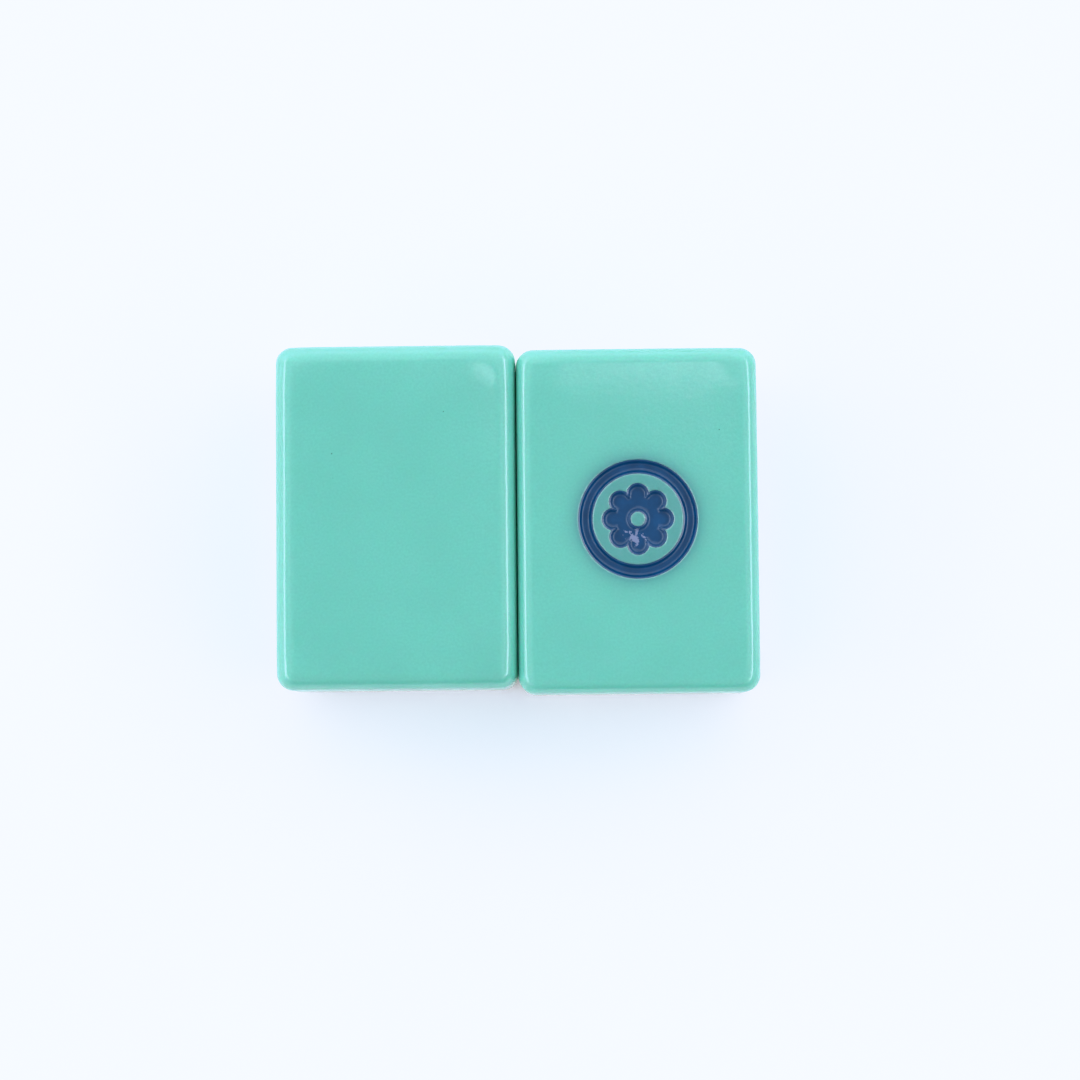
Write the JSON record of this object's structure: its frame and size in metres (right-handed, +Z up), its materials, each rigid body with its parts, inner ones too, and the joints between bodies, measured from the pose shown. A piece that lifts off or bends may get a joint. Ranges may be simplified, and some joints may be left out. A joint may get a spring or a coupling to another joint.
{
  "type": "mahjong tile",
  "caption": "Rounded laminated mahjong tile with an engraved and painted flower-in-ring dot, lying loose beside a matching blank tile.",
  "frame": {"origin": "middle of the pair's footprint on the table", "axes": "+X to the right across the pair, from the blank tile to the engraved tile; +Y along the tiles' length, towards the top of the picture; +Z up, out of the engraved face"},
  "size_m": [0.042, 0.0306, 0.013],
  "materials": {
    "face": "polished mint plastic",
    "back": "polished pale ivory plastic",
    "bond": "cured clear adhesive",
    "paint": "glossy navy enamel"
  },
  "bodies": {
    "engraved_tile": {"engraved_face": "face", "engraved_bond": "bond", "engraved_back": "back", "ring_paint": "paint", "flower_paint": "paint"},
    "blank_tile": {"blank_face": "face", "blank_bond": "bond", "blank_back": "back"}
  },
  "joints": [
    {"name": "blank_tile_slide", "type": "slide", "parent": "engraved_tile", "child": "blank_tile", "axis": [-1, 0, 0], "range_m": [0, 0.04]}
  ]
}
